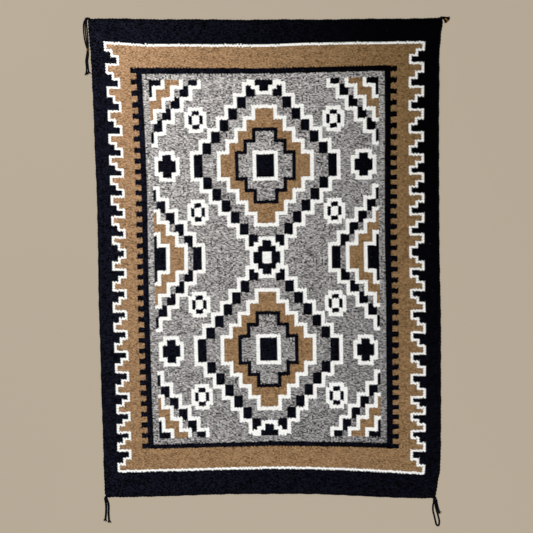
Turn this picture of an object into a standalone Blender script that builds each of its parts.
"""A handwoven wool rug lying flat and face up.

Metres, with +Z up. The origin is the middle of the panel's underside, +Y runs
towards the end that is at the top of the picture, and +X to the right.
The rug has nine pieces: the woven panel, a twined cord along each of its four
edges, and the knotted cord ends that make a tassel at each corner.
"""

import math

import bmesh
import bpy
import numpy as np

MM = 0.001

# Driving sizes in millimetres, shares without a unit and angles in radians
PANEL_THICKNESS = 4.0
CORD_DIAMETER = 5.0
CORD_GAP = 0.5
CORD_END_GAP = 4.7
CORD_END_SHARE = 0.75
CELLS_ACROSS = 28
CELLS_ALONG = 40
KNOT_WIDTH = 9.0
KNOT_HEIGHT = 5.6
KNOT_REST = 0.05
WRAP_RADIUS = 3.6
WRAP_THICKNESS = 2.2
WRAP_FLATTENING = 0.62
WRAP_MIDDLE = 2.92
WRAP_LEANS = (math.radians(28), math.radians(118))
# Strands rest on the surface, each a hair above the one before so that no two faces coincide
STRAND_STEP = 0.04
STRAND_THINNING = 0.15

# Side edges: share of the way up, x of the left edge, x of the right edge
SIDE_ROWS = (
    (0.000, -401.0, 409.0),
    (0.025, -402.5, 413.0),
    (0.055, -404.5, 420.0),
    (0.100, -405.5, 422.0),
    (0.200, -409.0, 422.5),
    (0.310, -413.0, 422.0),
    (0.410, -417.0, 421.0),
    (0.520, -418.5, 418.5),
    (0.620, -421.0, 418.0),
    (0.700, -424.5, 417.5),
    (0.790, -428.5, 417.5),
    (0.850, -432.0, 417.5),
    (0.920, -436.0, 418.0),
    (0.955, -439.5, 421.0),
    (0.985, -443.0, 425.5),
    (1.000, -444.0, 427.5),
)

# End edges: share of the way across, y of the bottom edge, y of the top edge
END_COLUMNS = (
    (0.00, -587.5, 585.0),
    (0.08, -587.0, 586.0),
    (0.20, -584.5, 583.5),
    (0.30, -581.5, 584.0),
    (0.37, -580.0, 583.0),
    (0.43, -579.0, 581.0),
    (0.50, -578.5, 582.5),
    (0.56, -578.5, 584.0),
    (0.65, -580.0, 583.0),
    (0.75, -583.5, 584.5),
    (0.85, -587.5, 585.0),
    (0.93, -589.5, 586.0),
    (1.00, -590.0, 588.0),
)

# Places where the cloth stands off the surface: share across, share up, reach, height
LIFTS = (
    (0.44, 1.02, 105.0, 5.0),
    (0.80, 1.03, 90.0, 3.5),
    (0.00, 0.74, 115.0, 4.0),
    (1.02, 0.86, 80.0, 4.5),
    (1.01, 0.36, 120.0, 4.0),
    (0.50, -0.02, 110.0, 4.5),
    (-0.02, 0.22, 90.0, 3.5),
)

# Strands of each tassel, as x and y from its knot, from the root to the tip
BOTTOM_RIGHT_STRANDS = (
    (
        (0.0, 0.0), (-3.4, -5.0), (-6.4, -12.0), (-7.6, -20.0), (-7.4, -30.0),
        (-4.7, -41.0), (-1.7, -54.0), (0.6, -62.5), (4.2, -67.4),
    ),
    (
        (3.0, -67.2), (7.0, -63.5), (7.8, -54.0), (4.8, -41.0), (1.2, -29.0),
        (-1.6, -17.0), (-1.2, -8.0), (0.2, -1.5),
    ),
    ((0.6, -2.0), (1.6, -10.0), (4.8, -22.0), (9.6, -35.0)),
)
BOTTOM_LEFT_STRANDS = (
    ((0.0, 0.0), (1.4, -6.0), (2.8, -14.0), (3.4, -24.0), (3.0, -38.0), (1.6, -54.0)),
    ((0.8, -1.0), (5.0, -5.6), (8.4, -13.0), (9.6, -24.0), (9.2, -38.0), (10.6, -58.0)),
)
TOP_LEFT_STRANDS = (
    (
        (-1.0, 0.5), (-5.4, -3.0), (-8.8, -10.0), (-9.8, -19.0), (-9.2, -35.0),
        (-6.8, -52.0), (-3.4, -66.0), (0.2, -76.0),
    ),
    (
        (-1.6, -0.8), (-4.6, -6.0), (-5.8, -15.0), (-5.2, -30.0), (-3.2, -48.0),
        (-0.8, -64.0), (0.9, -76.0),
    ),
    (
        (-1.4, -1.5), (-2.4, -8.0), (-1.9, -18.0), (-0.6, -32.0), (0.8, -48.0),
        (1.8, -64.0), (1.6, -76.0),
    ),
    ((0.4, -78.0), (-1.2, -87.0), (-2.6, -96.0), (-3.6, -105.0), (-2.2, -119.0), (-2.6, -134.0)),
    ((1.4, -78.0), (2.0, -87.0), (1.2, -96.0), (0.2, -105.0), (1.6, -119.0), (2.8, -131.0)),
)
TOP_RIGHT_STRANDS = (
    ((0.5, 0.0), (5.0, -0.6), (10.0, -1.0), (16.0, -1.2)),
    ((0.5, -1.0), (5.0, -3.9), (12.0, -7.8)),
    ((0.4, -1.4), (3.0, -6.0), (8.2, -11.4)),
)

# Tassels: name, side of the corner, end of the corner, strand width, knots as x and y, strands
TASSELS = (
    ("tassel_top_left", 0, 1, 3.3, ((-0.3, 0.3), (1.2, -77.0)), TOP_LEFT_STRANDS),
    ("tassel_top_right", 1, 1, 3.8, ((0.3, 0.3),), TOP_RIGHT_STRANDS),
    ("tassel_bottom_left", 0, 0, 4.2, ((-0.3, -0.3),), BOTTOM_LEFT_STRANDS),
    ("tassel_bottom_right", 1, 0, 4.2, ((0.3, -0.3),), BOTTOM_RIGHT_STRANDS),
)


def clear_scene():
    """Takes every object out of the scene that Blender opens with."""
    for item in list(bpy.data.objects):
        bpy.data.objects.remove(item, do_unlink=True)


def new_collection(name):
    """A collection linked into the scene."""
    made = bpy.data.collections.new(name)
    bpy.context.scene.collection.children.link(made)
    return made


def new_material(name, colour, roughness):
    """A plain wool material."""
    made = bpy.data.materials.new(name)
    made.use_nodes = True
    shader = made.node_tree.nodes["Principled BSDF"]
    shader.inputs["Base Color"].default_value = (*colour, 1.0)
    shader.inputs["Roughness"].default_value = roughness
    shader.inputs["Metallic"].default_value = 0.0
    made.diffuse_color = (*colour, 1.0)
    return made


def soft_line(table, column):
    """A function that follows one column of a table over its shares, with the corners rounded off."""
    shares = [row[0] for row in table]
    values = [row[column] for row in table]
    fine = np.linspace(-0.1, 1.1, 601)
    window = np.hanning(23)
    sharp = np.pad(np.interp(fine, shares, values), 11, mode="edge")
    soft = np.convolve(sharp, window / window.sum(), mode="valid")
    return lambda share: np.interp(share, fine, soft)


LEFT_EDGE = soft_line(SIDE_ROWS, 1)
RIGHT_EDGE = soft_line(SIDE_ROWS, 2)
BOTTOM_EDGE = soft_line(END_COLUMNS, 1)
TOP_EDGE = soft_line(END_COLUMNS, 2)


def outline_point(across, along, inset):
    """The place in the cloth at these shares, measured inside an outline drawn in by the inset."""
    left = LEFT_EDGE(along) + inset
    right = RIGHT_EDGE(along) - inset
    bottom = BOTTOM_EDGE(across) + inset
    top = TOP_EDGE(across) - inset
    return left + across * (right - left), bottom + along * (top - bottom)


def lift_at(x, y):
    """How far the cloth stands off the surface, as soft mounds that end at their reach."""
    total = np.zeros(np.shape(x))
    for across, along, reach, height in LIFTS:
        middle_x, middle_y = outline_point(across, along, 0.0)
        square = ((x - middle_x) ** 2 + (y - middle_y) ** 2) / reach**2
        total = total + height * np.clip(1.0 - square, 0.0, 1.0) ** 2
    return total


def finish_object(name, data, collection, material):
    """An object with one material, linked into its collection."""
    made = bpy.data.objects.new(name, data)
    collection.objects.link(made)
    data.materials.append(material)
    return made


def make_panel(collection, material):
    """The woven panel: a grid laid over the outline, then extruded straight up by its thickness."""
    inset = CORD_DIAMETER + CORD_GAP
    shape = bmesh.new()
    bmesh.ops.create_grid(shape, x_segments=CELLS_ACROSS, y_segments=CELLS_ALONG, size=0.5)
    for vertex in shape.verts:
        x, y = outline_point(vertex.co.x + 0.5, vertex.co.y + 0.5, inset)
        vertex.co = (x * MM, y * MM, lift_at(x, y) * MM)
    raised = bmesh.ops.extrude_face_region(shape, geom=shape.faces[:])
    top = [item for item in raised["geom"] if isinstance(item, bmesh.types.BMVert)]
    bmesh.ops.translate(shape, verts=top, vec=(0.0, 0.0, PANEL_THICKNESS * MM))
    bmesh.ops.recalc_face_normals(shape, faces=shape.faces)
    data = bpy.data.meshes.new("rug_panel")
    shape.to_mesh(data)
    shape.free()
    return finish_object("rug_panel", data, collection, material)


def new_tube(name, points, radius, sides_step, turn, end_share=1.0):
    """A tube through the points, its section kept upright and its closed ends drawn in to a share of its width."""
    curve = bpy.data.curves.new(name, "CURVE")
    curve.dimensions = "3D"
    curve.twist_mode = "Z_UP"
    curve.bevel_depth = radius * MM
    curve.bevel_resolution = sides_step
    curve.use_fill_caps = True
    spline = curve.splines.new("POLY")
    spline.points.add(len(points) - 1)
    for point, place in zip(spline.points, points):
        point.co = (place[0] * MM, place[1] * MM, place[2] * MM, 1.0)
        point.tilt = turn
    spline.points[0].radius = end_share
    spline.points[-1].radius = end_share
    return curve


def make_cord(name, fixed, side, collection, material):
    """One selvedge cord, its middle line half its width inside the outline and following the lifts."""
    steps = CELLS_ALONG if fixed == "across" else CELLS_ACROSS
    shares = np.linspace(0.0, 1.0, steps + 1)
    still = np.full(shares.shape, float(side))
    if fixed == "across":
        x, y = outline_point(still, shares, CORD_DIAMETER / 2)
        length = y
    else:
        x, y = outline_point(shares, still, CORD_DIAMETER / 2)
        length = x
    first = length[0] + CORD_END_GAP - CORD_DIAMETER / 2
    last = length[-1] - CORD_END_GAP + CORD_DIAMETER / 2
    held = np.concatenate([[first], length[1:-1], [last]])
    x = np.interp(held, length, x)
    y = np.interp(held, length, y)
    z = lift_at(x, y) + CORD_DIAMETER / 2
    middle_line = np.stack([x, y, z], axis=1)
    curve = new_tube(name, middle_line, CORD_DIAMETER / 2, 2, 0.0, CORD_END_SHARE)
    return finish_object(name, curve, collection, material)


def through(places, per_span=3):
    """Points on a smooth line through the given places."""
    ends = np.asarray(places, dtype=float)
    padded = np.concatenate([[2 * ends[0] - ends[1]], ends, [2 * ends[-1] - ends[-2]]])
    made = []
    for before, start, stop, after in zip(padded, padded[1:], padded[2:], padded[3:]):
        for share in np.arange(per_span) / per_span:
            bend = 2 * before - 5 * start + 4 * stop - after
            rest = 3 * start - before - 3 * stop + after
            made.append(start + 0.5 * share * ((stop - before) + share * (bend + share * rest)))
    made.append(ends[-1])
    return np.array(made)


def as_mesh_object(name, curve, collection, material):
    """The curve's tube as a mesh with its caps welded, kept as a hidden operand."""
    source = bpy.data.objects.new(name + "_line", curve)
    collection.objects.link(source)
    bpy.context.view_layer.update()
    graph = bpy.context.evaluated_depsgraph_get()
    data = bpy.data.meshes.new_from_object(source.evaluated_get(graph))
    shape = bmesh.new()
    shape.from_mesh(data)
    bmesh.ops.remove_doubles(shape, verts=shape.verts, dist=0.00001)
    bmesh.ops.recalc_face_normals(shape, faces=shape.faces)
    shape.to_mesh(data)
    shape.free()
    made = bpy.data.objects.new(name, data)
    made.matrix_world = source.matrix_world
    collection.objects.link(made)
    bpy.data.objects.remove(source, do_unlink=True)
    data.materials.clear()
    data.materials.append(material)
    hide_operand(made)
    return made


def hide_operand(item):
    """Keeps a helper shape out of the finished part."""
    item.hide_render = True
    item.display_type = "WIRE"


def squashed_ball(name, x, y, collection, material, hidden):
    """The body of a knot, flattened where it rests."""
    shape = bmesh.new()
    bmesh.ops.create_uvsphere(shape, u_segments=14, v_segments=9, radius=0.5)
    for vertex in shape.verts:
        vertex.co.x = x * MM + vertex.co.x * KNOT_WIDTH * MM
        vertex.co.y = y * MM + vertex.co.y * KNOT_WIDTH * MM
        vertex.co.z = ((vertex.co.z + 0.5) * KNOT_HEIGHT + KNOT_REST) * MM
    data = bpy.data.meshes.new(name)
    shape.to_mesh(data)
    shape.free()
    data.shade_smooth()
    made = finish_object(name, data, collection, material)
    if hidden:
        hide_operand(made)
    return made


def knot_wrap(name, x, y, lean, collection, material):
    """One turn of strand round a knot: a ring stood on edge, leaning across its body and flattened with it."""
    bpy.ops.mesh.primitive_torus_add(
        major_segments=16,
        minor_segments=6,
        major_radius=WRAP_RADIUS * MM,
        minor_radius=0.5 * WRAP_THICKNESS * MM,
        location=(x * MM, y * MM, WRAP_MIDDLE * MM),
        rotation=(math.radians(90), 0.0, lean),
    )
    made = bpy.context.object
    made.name = name
    made.scale.y = WRAP_FLATTENING
    for holder in list(made.users_collection):
        holder.objects.unlink(made)
    collection.objects.link(made)
    made.data.materials.append(material)
    made.data.shade_smooth()
    hide_operand(made)
    return made


def join_to(whole, operand):
    """Makes the operand part of the whole."""
    joint = whole.modifiers.new(operand.name, "BOOLEAN")
    joint.operation = "UNION"
    joint.solver = "EXACT"
    joint.object = operand


def make_tassel(row, parts, operands, material):
    """A corner's knot with its strands, all one body that rests level on the surface."""
    name, side, end, first_width, knots, strands = row
    corner_x, corner_y = outline_point(float(side), float(end), 0.0)
    whole = None
    for index, (x, y) in enumerate(knots):
        place_x = corner_x + x
        place_y = corner_y + y
        if whole is None:
            whole = squashed_ball(name, place_x, place_y, parts, material, False)
        else:
            extra = squashed_ball(f"{name}_knot_{index}", place_x, place_y, operands, material, True)
            join_to(whole, extra)
        for turn, lean in enumerate(WRAP_LEANS):
            wrap_name = f"{name}_wrap_{index}_{turn}"
            join_to(whole, knot_wrap(wrap_name, place_x, place_y, lean, operands, material))
    for index, strand in enumerate(strands):
        line = through(strand)
        width = first_width - STRAND_THINNING * index
        level = 0.5 * width + STRAND_STEP * index
        heights = np.full((len(line), 1), level)
        places = np.concatenate([line + np.array([corner_x, corner_y]), heights], axis=1)
        tube = new_tube(f"{name}_tube_{index}", places, width / math.sqrt(2), 0, math.radians(45))
        join_to(whole, as_mesh_object(f"{name}_strand_{index}", tube, operands, material))
    return whole


def main():
    clear_scene()
    parts = new_collection("navajo_rug")
    operands = new_collection("cutters")
    panel_wool = new_material("panel_wool", (0.19, 0.15, 0.12), 0.95)
    cord_wool = new_material("cord_wool", (0.008, 0.008, 0.011), 0.95)
    tassel_wool = new_material("tassel_wool", (0.010, 0.009, 0.011), 0.95)
    make_panel(parts, panel_wool)
    make_cord("side_cord_left", "across", 0, parts, cord_wool)
    make_cord("side_cord_right", "across", 1, parts, cord_wool)
    make_cord("end_cord_bottom", "along", 0, parts, cord_wool)
    make_cord("end_cord_top", "along", 1, parts, cord_wool)
    for row in TASSELS:
        make_tassel(row, parts, operands, tassel_wool)


main()
